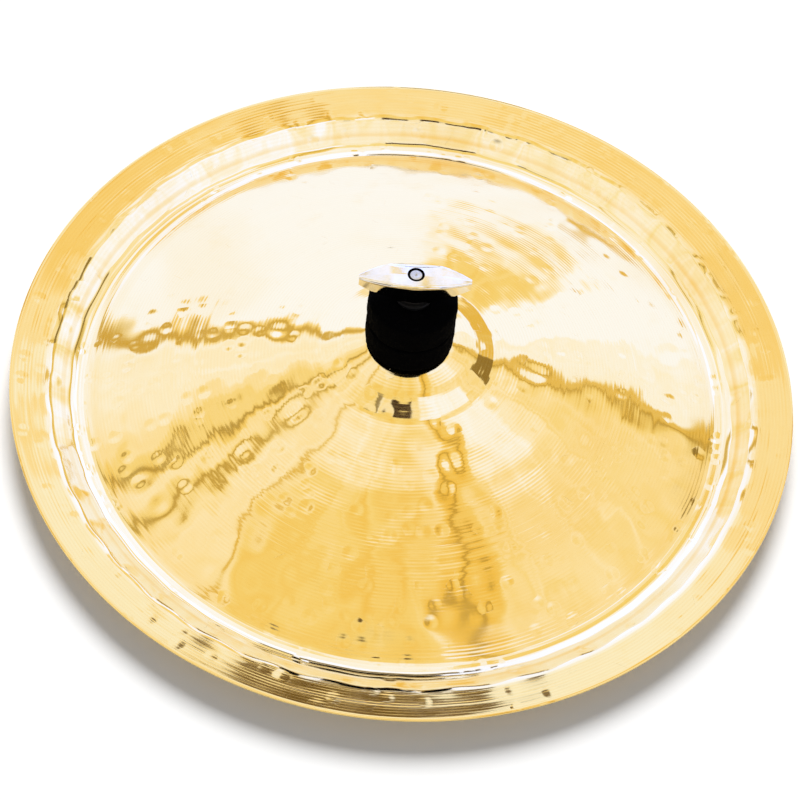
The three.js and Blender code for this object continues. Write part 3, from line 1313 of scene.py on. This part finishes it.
@dataclass
class RodAndWashers:
    """The threaded rod and the turned pieces on it."""

    steel: TurnedMetalFinish
    plastic: PlasticFinish
    pitch: float = 1.25
    crest: float = 4.0
    root: float = 3.35
    seat_sheet: float = 1.5
    seat_gap: float = 0.3
    chamfer: float = 1.4
    run_out: float = 1.6
    shank_radius: float = 6.0
    shoulder_height: float = 5.0
    shoulder_radius: float = 9.0
    thread_gap: float = 0.2
    bore: float = 4.32
    sleeve_radius: float = 5.4
    washer_radius: float = 7.95
    seat_radius: float = 18.97
    seat_fold: float = 17.55
    seat_flat: float = 1.45
    columns: int = 96
    thread_columns: int = 36

    def turned(self, name: str, node: str, corners: list[Corner], body: Body, slot: Slot,
               material: bpy.types.Material) -> bpy.types.Object:
        """Turns a ring that replaces a node.

        Args:
            name: The piece's name.
            node: The node that it replaces.
            corners: Its closed section.
            body: The body that it rides on.
            slot: Its material slot; not used.
            material: Its material.

        Returns:
            The piece.
        """
        line = rounded_line(corners + [corners[0]], math.radians(15))[:-1]
        section = self.densified(line)
        made = make_object(name, spun(section, self.columns),
                           ring_faces(len(section), self.columns), material)
        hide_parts(node)
        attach(made, body.value)
        return made

    @staticmethod
    def densified(line: Array) -> Array:
        """Adds points next to the ends of long straight runs, to keep them flat.

        Args:
            line: The section's points.

        Returns:
            The section with the added points.
        """
        points: list[Array] = []
        for here, there in zip(line, np.roll(line, -1, axis=0)):
            points.append(here)
            gap = float(np.linalg.norm(there - here))
            if gap > LONG_RUN:
                share = END_STEP / gap
                points.append(here + (there - here) * share)
                points.append(here + (there - here) * (1 - share))
        return np.array(points)

    def thread(self, foot: float, top: float) -> tuple[Array, list[list[int]]]:
        """Cuts the thread as one long helical strip.

        Args:
            foot: Where the thread starts.
            top: The height of the rod's end.

        Returns:
            The points and the faces.
        """
        profile = np.array([[0.0, self.root], [0.16, self.root], [0.42, self.crest],
                            [0.56, self.crest], [0.82, self.root]])
        strands = len(profile)
        turns = int(math.ceil((top - foot) / self.pitch)) + 2
        steps = turns * self.thread_columns
        index = np.arange(steps + 1)
        angle = index * math.tau / self.thread_columns
        base = foot - 1.5 * self.pitch + self.pitch * index / self.thread_columns
        height = base[:, None] + self.pitch * profile[None, :, 0]
        radius = np.repeat(profile[None, :, 1], steps + 1, axis=0)
        height = np.clip(height, foot, top)
        radius = np.minimum(radius, self.crest - self.chamfer + (top - height))
        run_out = smooth_share(height, foot, foot + self.run_out)
        radius = self.root + (radius - self.root) * run_out
        points = np.stack([radius * np.cos(angle)[:, None], radius * np.sin(angle)[:, None],
                           height], -1).reshape(-1, 3)
        faces: list[list[int]] = []
        for step in range(steps):
            for strand in range(strands):
                here, there = step * strands + strand, (step + 1) * strands + strand
                near, far = here + 1, there + 1
                if strand + 1 == strands:
                    near, far = ((step + turn) * strands for turn in
                                 (self.thread_columns, self.thread_columns + 1))
                if far < len(points):
                    faces.append([here, there, far, near])
        return points, faces

    def rod(self, material: bpy.types.Material) -> bpy.types.Object:
        """Builds the rod: plain shank, shoulder, and a cut thread with a faced end.

        Args:
            material: The steel.

        Returns:
            The rod.
        """
        low, high = levels("tilter_rod")
        shoulder_top = levels("seat_washer")[1] - self.seat_sheet - self.seat_gap
        thread_start = shoulder_top + self.thread_gap
        shoulder_foot = shoulder_top - self.shoulder_height
        core = self.crest - 0.02
        outline = rounded_line([
            Corner(0.01, low), Corner(self.shank_radius, low, 0.8),
            Corner(self.shank_radius, shoulder_foot - 0.01, 0.25),
            Corner(self.shoulder_radius, shoulder_foot, 0.5),
            Corner(self.shoulder_radius, shoulder_top, 0.6),
            Corner(core, shoulder_top, 0.3), Corner(core, thread_start),
            Corner(self.root, thread_start + self.thread_gap),
        ], math.radians(15))
        outline = self.densified(outline[:-1])[:-2]
        body = spun(outline, self.columns)
        body_faces = ring_faces(len(outline), self.columns, closed=False).tolist()
        points, faces = self.thread(thread_start, high)
        tip = self.tip(high)
        first = len(body)
        second = first + len(points)
        listed = body_faces + [[i + first for i in face] for face in faces]
        listed += (ring_faces(len(tip), self.thread_columns, closed=False) + second).tolist()
        every = np.concatenate([body, points, spun(tip, self.thread_columns)])
        made = make_object("threaded_rod", every, listed, material)
        work = bmesh.new()
        work.from_mesh(made.data)
        bmesh.ops.remove_doubles(work, verts=work.verts, dist=0.00001)
        work.to_mesh(made.data)
        work.free()
        made.data.shade_smooth()
        made.data.set_sharp_from_angle(angle=math.radians(38))
        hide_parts("tilter_rod")
        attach(made, Body.ROD.value)
        return made

    def tip(self, high: float) -> Array:
        """Faces the rod's end: a flat middle with a shallow centre mark.

        Args:
            high: The height of the rod's end.

        Returns:
            Rows of radius and height, from the chamfer in.
        """
        face = self.crest - self.chamfer
        return np.array([[face + 0.02, high - 0.03], [face - 0.15, high], [face * 0.6, high],
                         [0.62, high], [0.5, high - 0.12], [0.25, high - 0.34],
                         [0.01, high - 0.42]])

    def build(self) -> list[bpy.types.Object]:
        """Builds the rod, the sleeve and both washers.

        Returns:
            The pieces.
        """
        steel = self.steel.build()
        nylon = self.plastic.build()
        made = [self.rod(steel)]
        low, high = levels("rod_sleeve")
        made.append(self.turned("nylon_sleeve", "rod_sleeve", [
            Corner(self.bore, low + 1.0), Corner(self.bore, low, 0.25),
            Corner(self.sleeve_radius, low, 0.4), Corner(self.sleeve_radius, high, 0.4),
            Corner(self.bore, high, 0.25),
        ], Body.ROD, Slot.PLASTIC, nylon))
        low, high = levels("nut_washer")
        made.append(self.turned("flat_washer", "nut_washer", [
            Corner(self.bore, low + 0.8), Corner(self.bore, low, 0.2),
            Corner(self.washer_radius, low, 0.2), Corner(self.washer_radius, high, 0.55),
            Corner(self.bore, high, 0.2),
        ], Body.WASHER, Slot.PLASTIC, nylon))
        rim = self.seat_rim(*levels("seat_washer"))
        made.append(self.turned("seat_cup", "seat_washer", rim, Body.ROD, Slot.STEEL, steel))
        return made

    def seat_rim(self, low: float, high: float) -> list[Corner]:
        """Draws the seat washer: flat, with its edge rolled down.

        Args:
            low: The height of the rolled edge.
            high: The height of its flat top.

        Returns:
            Its closed section.
        """
        under = high - self.seat_flat
        return [
            Corner(self.bore, high - 0.7), Corner(self.bore, under, 0.2),
            Corner(self.seat_fold, under, 1.6), Corner(self.seat_fold, low, 0.3),
            Corner(self.seat_radius, low, 0.4), Corner(self.seat_radius, high, 3.1),
            Corner(self.bore, high, 0.25),
        ]


# Wing nut


@dataclass
class WingNut:
    """The cast wing nut: lens-shaped seen from above, with wings that sweep up."""

    finish: TurnedMetalFinish
    span: float = 49.0
    depth: float = 15.0
    height: float = 13.5
    tip_width: float = 2.4
    tip_drop: float = 3.0
    tip_height: float = 5.0
    bore: float = 4.3
    mouth_step: float = 0.55
    mouth_depth: float = 1.0
    bevel: float = 3.0
    least_bevel: float = 0.35
    bevel_reach: float = 12.0
    bevel_angle: float = math.radians(25)
    edge: float = 0.9
    crown: float = 0.25
    turn: float = math.radians(5)
    stations: int = 61
    section_points: int = 64

    def half_width(self, x: Array) -> Array:
        """Gives half the plan's width, which two arcs bound.

        Args:
            x: The stations along the span.

        Returns:
            Half the width at each.
        """
        half = self.span / 2
        bulge = (self.depth - self.tip_width) / 2
        arc = (half * half + bulge * bulge) / (2 * bulge)
        return np.sqrt(arc * arc - x * x) - arc + self.depth / 2

    def top(self, x: Array) -> Array:
        """Gives the height of the crowned top at each station."""
        share = x / (self.span / 2)
        return self.height - self.tip_drop * share * share

    def foot(self, x: Array) -> Array:
        """Gives the height of the underside: flat under the hub, then a swept curve.

        Args:
            x: The stations along the span.

        Returns:
            The height at each.
        """
        half, hub = self.span / 2, self.depth / 2
        tip_foot = self.height - self.tip_drop - self.tip_height
        share = np.linspace(0, 1, 60)
        ends = np.array([[hub, 0.0], [hub, tip_foot / 2], [half - self.tip_height, tip_foot / 2],
                         [half, tip_foot]])
        weights = np.stack([(1 - share) ** 3, 3 * share * (1 - share) ** 2,
                            3 * share ** 2 * (1 - share), share ** 3], 1)
        curve = weights @ ends
        return np.where(np.abs(x) < hub, 0.0, np.interp(np.abs(x), curve[:, 0], curve[:, 1]))

    def loft(self) -> tuple[Array, list[list[int]]]:
        """Skins the nut over rounded sections along its span.

        Returns:
            The points and the faces.
        """
        share = np.linspace(-1, 1, self.stations)
        x = np.sin(share * math.pi / 2) * self.span / 2
        top, foot = self.top(x), self.foot(x)
        wide = np.maximum(self.half_width(x), self.tip_width / 2)
        narrow = np.minimum(wide, np.sqrt(np.maximum((self.depth / 2) ** 2 - x * x, 0.0)))
        slim_foot = np.maximum(narrow * 0.86, np.minimum(wide * 0.72, wide - 0.2))
        bevel = np.maximum(self.bevel * (1 - (x / self.bevel_reach) ** 2), self.least_bevel)
        bevel = np.minimum(bevel, wide * 0.5)
        count = self.section_points
        even = np.linspace(0, 1, count + 1)[:-1]
        rows: list[Array] = []
        for at, up, down, broad, slim, cut in zip(x, top, foot, wide, slim_foot, bevel):
            edge = min(self.edge, broad * 0.5)
            crown = self.crown * broad / (self.depth / 2)
            shape = rounded_line([
                Corner(0.0, up), Corner(broad - cut, up - crown * 0.5, 0.2),
                Corner(broad, up - crown * 0.5 - cut * math.tan(self.bevel_angle),
                       0.25 + 0.3 * cut),
                Corner(slim, down, edge * 0.6), Corner(-slim, down, edge * 0.6),
                Corner(-broad, up - crown, edge), Corner(0.0, up),
            ], math.radians(18))[:-1]
            line = np.concatenate([shape, shape[:1]])
            steps = np.linalg.norm(np.diff(line, axis=0), axis=1)
            along = np.concatenate([[0.0], np.cumsum(steps)]) / steps.sum()
            rows.append(np.column_stack([np.full(count, at), resampled(even, along, line)]))
        faces = ring_faces(self.stations, count, closed=False).tolist()
        last = (self.stations - 1) * count
        faces += [list(range(count)), list(range(last, last + count))[::-1]]
        return np.concatenate(rows), faces

    def drill(self) -> Array:
        """Draws the bore, with the narrower mouth of its thread at the top.

        Returns:
            Rows of radius and height.
        """
        mouth = self.bore - self.mouth_step
        return np.array([
            [0.01, -2.0], [self.bore, -2.0], [self.bore, self.height - 1.2],
            [mouth, self.height - self.mouth_depth], [mouth, self.height + 3.0],
            [0.01, self.height + 3.0]])

    def build(self) -> bpy.types.Object:
        """Builds the nut, bores it and softens its edges.

        Returns:
            The wing nut, which replaces its node.
        """
        material = self.finish.build()
        low = levels("wing_nut")[0]
        points, faces = self.loft()
        made = make_object("cast_wing_nut", points, faces, material)
        outline = self.drill()
        drill = make_object("nut_drill", spun(outline, self.section_points),
                            ring_faces(len(outline), self.section_points), material)
        cut = made.modifiers.new("bore", "BOOLEAN")
        cut.operation = "DIFFERENCE"
        cut.object = drill
        cut.solver = "EXACT"
        apply_modifiers(made)
        bpy.data.objects.remove(drill)
        seat = Matrix.Translation((0, 0, low * MM))
        made.data.transform(seat @ Matrix.Rotation(self.turn, 4, "Z"))
        made.data.shade_smooth()
        made.data.set_sharp_from_angle(angle=math.radians(40))
        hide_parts("wing_nut")
        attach(made, Body.NUT.value)
        return made


# Studio


@dataclass(frozen=True)
class Panel:
    """A patch of the studio, by its direction round and away from the mirrored point.

    The tone runs from 0, a warm amber card, to 1, a cool white soft box, and the
    shade dims it: 0 leaves it as it is and 1 is black.
    """

    turn: Span
    away: Span
    tone: float
    shade: float = 0.0
    turn_edge: float = 1.5
    away_edge: float = 1.5


@dataclass
class Studio:
    """The camera, the floor, the lamp and the surroundings that the metal shows."""

    elevation: float = math.radians(53.28)
    distance: float = 1.1557
    roll: float = math.radians(6.68)
    target_height: float = 0.0132
    lens: float = 114.4
    shift: Span = (-0.00556, -0.0308)
    fill: float = 0.25
    lamp_power: float = 3.4
    lamp_spread: float = math.radians(32)
    lamp_azimuth: float = math.radians(92)
    lamp_height: float = math.radians(47)
    floor_reach: float = 4.0
    floor_glow: float = 0.11
    dark: Colour = (0.055, 0.030, 0.022, 1.0)
    low_shade: float = 0.55
    folds: float = 0.8
    cloud: float = 0.5
    turn_wobble: float = 8.0
    away_wobble: float = 3.5

    def camera(self) -> None:
        """Places the camera at the photograph's viewing angle."""
        forward = Vector((0, math.cos(self.elevation), -math.sin(self.elevation)))
        raised = Vector((0, math.sin(self.elevation), math.cos(self.elevation)))
        side = Vector((1, 0, 0))
        right = side * math.cos(self.roll) + raised * math.sin(self.roll)
        up = raised * math.cos(self.roll) - side * math.sin(self.roll)
        place = Vector((0, 0, self.target_height)) - forward * self.distance
        data = bpy.data.cameras.new("camera")
        data.lens = self.lens
        data.sensor_width = 36.0
        data.shift_x, data.shift_y = self.shift
        data.clip_start = 0.01
        made = bpy.data.objects.new("camera", data)
        rows = zip(right, up, -forward, place)
        made.matrix_world = Matrix([*[list(row) for row in rows], [0, 0, 0, 1]])
        bpy.context.scene.collection.objects.link(made)
        bpy.context.scene.camera = made

    def floor(self) -> None:
        """Lays a pale floor that keeps the soft shadow."""
        material, graph, shader = new_material("pale_floor")
        shader.inputs["Roughness"].default_value = 0.9
        shader.inputs["Specular IOR Level"].default_value = 0.0
        tone = graph.ramp(graph.noise(graph.position(), 3.0, 2.0), 0.3, 0.7)
        graph.plug(shader.inputs["Base Color"],
                   graph.mix(tone, (0.92, 0.92, 0.92, 1), (0.93, 0.93, 0.93, 1)))
        shader.inputs["Emission Color"].default_value = (1, 1, 1, 1)
        seen = graph.node("ShaderNodeLightPath").outputs["Is Camera Ray"]
        graph.plug(shader.inputs["Emission Strength"], graph.math("MULTIPLY", seen, self.floor_glow))
        far = self.floor_reach
        mesh = bpy.data.meshes.new("floor")
        mesh.from_pydata([(-far, -far, 0), (far, -far, 0), (far, far, 0), (-far, far, 0)],
                         [], [(0, 1, 2, 3)])
        mesh.materials.append(material)
        made = bpy.data.objects.new("floor", mesh)
        bpy.context.scene.collection.objects.link(made)

    def lamp(self) -> None:
        """Hangs one large soft lamp behind and above the cymbal."""
        data = bpy.data.lights.new("soft_lamp", "SUN")
        data.energy = self.lamp_power
        data.angle = self.lamp_spread
        made = bpy.data.objects.new("soft_lamp", data)
        level = math.cos(self.lamp_height)
        toward = Vector((math.cos(self.lamp_azimuth) * level,
                         math.sin(self.lamp_azimuth) * level, math.sin(self.lamp_height)))
        made.rotation_euler = toward.to_track_quat("Z", "Y").to_euler()
        made.visible_glossy = False
        bpy.context.scene.collection.objects.link(made)

    def surroundings(self) -> None:
        """Paints the studio that the metal shows, as plain soft panels."""
        world = bpy.data.worlds.new("studio")
        bpy.context.scene.world = world
        world.use_nodes = True
        tree = world.node_tree
        tree.nodes.clear()
        graph = Graph(tree)
        sky = self.coordinates(graph)
        tone, shade = self.tones(graph, sky)
        glow = graph.node("ShaderNodeValToRGB")
        self.fill_ramp(glow.color_ramp)
        graph.plug(glow.inputs[0], tone)
        lit = graph.vector("SCALE", glow.outputs[0], 1 / RAMP_STRENGTH)
        mirrored = graph.mix(shade, lit, self.dark)
        rays = graph.node("ShaderNodeLightPath").outputs
        plain = (self.fill, self.fill, self.fill, 1.0)
        colour = graph.mix(rays["Is Glossy Ray"], plain, mirrored)
        white = graph.math("MAXIMUM", rays["Is Camera Ray"], rays["Is Transmission Ray"])
        colour = graph.mix(white, colour, (1.0, 1.0, 1.0, 1.0))
        shader = graph.node("ShaderNodeBackground")
        graph.plug(shader.inputs["Color"], colour)
        out = graph.node("ShaderNodeOutputWorld")
        graph.plug(out.inputs["Surface"], shader.outputs[0])

    @staticmethod
    def fill_ramp(ramp: bpy.types.ColorRamp) -> None:
        """Runs a ramp from the amber cards to the white soft boxes, at half strength.

        A ramp's colours stop at 1, so the graph brings them back to full strength.

        Args:
            ramp: The ramp.
        """
        stops = ((0.0, (0.93, 0.65, 0.15)), (0.25, (0.97, 0.81, 0.39)),
                 (0.5, (1.02, 0.95, 0.82)), (0.75, (1.025, 1.075, 1.33)),
                 (1.0, (1.025, 1.185, 1.93)))
        while len(ramp.elements) < len(stops):
            ramp.elements.new(0.5)
        for element, (at, colour) in zip(ramp.elements, stops):
            element.position = at
            element.color = (*[channel * RAMP_STRENGTH for channel in colour], 1.0)

    def coordinates(self, graph: Graph) -> dict[str, Socket]:
        """Names the directions of the studio.

        Args:
            graph: The world's graph.

        Returns:
            The direction and its parts, and in degrees how far it is turned round and
            away from the point of the studio that a level mirror on the table shows. A turn
            counts from 0 to 360 and a swing from -180 to 180.
        """
        direction = graph.node("ShaderNodeTexCoord").outputs["Generated"]
        direction = graph.vector("NORMALIZE", direction)
        x, y, z = graph.split(direction)
        sin, cos = math.sin(self.elevation), math.cos(self.elevation)
        over = graph.math("SUBTRACT", graph.math("MULTIPLY", y, sin),
                          graph.math("MULTIPLY", z, cos))
        toward = graph.math("ADD", graph.math("MULTIPLY", y, cos),
                            graph.math("MULTIPLY", z, sin))
        turn = graph.math("MULTIPLY", graph.math("ARCTAN2", over, x), 180 / math.pi)
        below = graph.math("MULTIPLY", graph.math("LESS_THAN", turn, 0.0), 360.0)
        turn = graph.math("ADD", turn, below)
        away = graph.math("ARCCOSINE", graph.math("MINIMUM", toward, 0.99999))
        away = graph.math("MULTIPLY", away, 180 / math.pi)
        wobble = graph.math("SUBTRACT", graph.noise(direction, 6.0, 2.0), 0.5)
        past = graph.math("MULTIPLY", graph.math("GREATER_THAN", turn, 180.0), 360.0)
        swing = graph.math("SUBTRACT", turn, past)
        return {"y": y, "z": z, "direction": direction,
                "turn": graph.math("MULTIPLY_ADD", wobble, self.turn_wobble, turn),
                "swing": graph.math("MULTIPLY_ADD", wobble, self.turn_wobble, swing),
                "away": graph.math("MULTIPLY_ADD", wobble, self.away_wobble, away)}

    def tones(self, graph: Graph, sky: dict[str, Socket]) -> tuple[Socket, Socket]:
        """Lays the panels over each other.

        Args:
            graph: The world's graph.
            sky: The studio's directions.

        Returns:
            The tone and the shade in each direction.
        """
        tone = graph.ramp(sky["away"], 25.0, 44.0, 0.68, 0.22)
        tone = graph.blend(graph.ramp(sky["away"], 50.0, 53.0), tone, 0.5)
        shade: object = 0.0
        for panel in self.panels():
            around = sky["swing"] if panel.turn[0] < 0 else sky["turn"]
            across = graph.window(around, *panel.turn, panel.turn_edge)
            mask = graph.math("MULTIPLY", across,
                              graph.window(sky["away"], *panel.away, panel.away_edge))
            tone = graph.blend(mask, tone, panel.tone)
            if panel.shade:
                dimmed = graph.math("MULTIPLY", mask, panel.shade)
                shade = graph.math("MAXIMUM", dimmed, shade)
        drape = graph.level(graph.math("MULTIPLY", sky["turn"], 0.16),
                            graph.math("MULTIPLY", sky["away"], 0.02))
        folds = graph.math("SUBTRACT", graph.noise(drape, 1.0, 4.0, 0.65), 0.5)
        cloud = graph.math("SUBTRACT", graph.noise(sky["direction"], 12.0, 3.0, 0.6), 0.5)
        tone = graph.math("MULTIPLY_ADD", folds, self.folds, tone)
        tone = graph.math("MULTIPLY_ADD", cloud, self.cloud, tone, clamp=True)
        low = graph.math("MULTIPLY", graph.ramp(sky["z"], 0.10, 0.34, 1.0, 0.0),
                         graph.ramp(sky["y"], -0.5, -0.3, 1.0, 0.0))
        return tone, graph.math("MAXIMUM", shade, graph.math("MULTIPLY", low, self.low_shade))

    @staticmethod
    def panels() -> list[Panel]:
        """Lists the panels by their turn and distance in degrees.

        Returns:
            The panels, later ones in front.
        """
        return [
            Panel((-62, 62), (52, 75), 0.80),
            Panel((70, 120), (52, 75), 0.75),
            Panel((60, 140), (-5, 11), 1.0),
            Panel((140, 166), (4, 11), 0.15),
            Panel((178, 240), (-5, 11), 0.78),
            Panel((285, 352), (3, 11), 0.12),
            Panel((190, 262), (11, 21), 0.40),
            Panel((-62, -8), (11, 24), 0.42),
            Panel((8, 74), (11, 23), 1.0),
            Panel((25, 37), (11, 23), 0.5),
            Panel((100, 142), (11, 23), 0.95),
            Panel((158, 190), (24, 50), 0.75),
            Panel((190, 240), (24, 50), 0.48),
            Panel((240, 284), (34, 50), 0.22, away_edge=4.0),
            Panel((298, 332), (22, 32), 0.90, away_edge=3.0),
            Panel((298, 350), (33, 50), 0.42, away_edge=3.0),
            Panel((-15, 14), (24, 50), 0.36),
            Panel((14, 33), (22, 50), 0.82),
            Panel((31, 157), (22, 50), 1.12, 0.0, 1.0, 0.8),
            Panel((54, 86), (25, 36), 0.25, 0.0, 5.0, 3.0),
            Panel((5, 14), (20, 46), 0.10, 0.12),
            Panel((7, 9), (20, 46), 0.0, 0.42, 0.7),
            Panel((155, 168), (20, 34), 0.22, 0.0, 2.0),
            Panel((159, 165), (20, 46), 0.0, 0.30),
            Panel((196, 205), (20, 46), 0.18),
            Panel((201, 203), (20, 46), 0.0, 0.50, 0.7),
            Panel((211, 217), (20, 46), 0.25),
            Panel((213, 215.5), (20, 46), 0.0, 0.42, 0.8),
            Panel((234, 236), (24, 46), 0.05, 0.15, 0.8),
            Panel((287, 298), (20, 50), 0.08),
            Panel((290, 292), (20, 46), 0.0, 0.40, 0.7),
            Panel((13, 70), (42, 50), 0.0, 0.12, 1.0, 0.6),
            Panel((285, 330), (46, 53), 0.95),
            Panel((-9, 16), (40.7, 48), 0.0, 0.72, 0.8, 0.4),
            Panel((249, 253), (49, 56), 0.3, 0.7, 0.6, 0.6),
            Panel((262, 279), (50.6, 58), 0.3, 1.0, 0.6, 0.5),
            Panel((80, 101), (17, 25), 0.0, 0.9, 0.6, 0.6),
            Panel((232, 308), (76, 106), 0.45, 0.86, 5.0, 3.0),
        ]

    def build(self) -> None:
        """Sets the camera, the floor, the lamp and the surroundings."""
        view = bpy.context.scene.view_settings
        view.view_transform = "Standard"
        self.camera()
        self.floor()
        self.lamp()
        self.surroundings()


def main() -> None:
    """Builds the scene piece by piece and reports each one."""
    logging.basicConfig(level=logging.INFO, format="%(message)s")
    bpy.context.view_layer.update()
    Studio().build()
    effects = Effects()
    # Both metals get painted shade over the threads: the chrome at the mouth of the nut's bore, the
    # steel on the rod's thread.
    chrome = TurnedMetalFinish(effects, "polished_chrome", bright=(0.945, 0.90, 0.83, 1),
                               dull=(0.79, 0.76, 0.72, 1), roughness=0.05, slope=0.004,
                               thread_shade_span=(0.0, 0.00372))
    steel = TurnedMetalFinish(effects, "turned_steel", bright=(0.72, 0.71, 0.69, 1),
                              dull=(0.45, 0.44, 0.43, 1), roughness=0.2, slope=0.03,
                              anisotropic=0.5, thread_shade_span=(0.00258, 0.0043))
    built: list[bpy.types.Object] = [CymbalSheet(BronzeFinish(effects)).build()]
    built += FeltStack(FeltFinish(effects)).build()
    built += RodAndWashers(steel, PlasticFinish(effects)).build()
    built.append(WingNut(chrome).build())
    for piece in built:
        LOG.info("%s: %d faces", piece.name, len(piece.data.polygons))


if __name__ == "__main__":
    main()
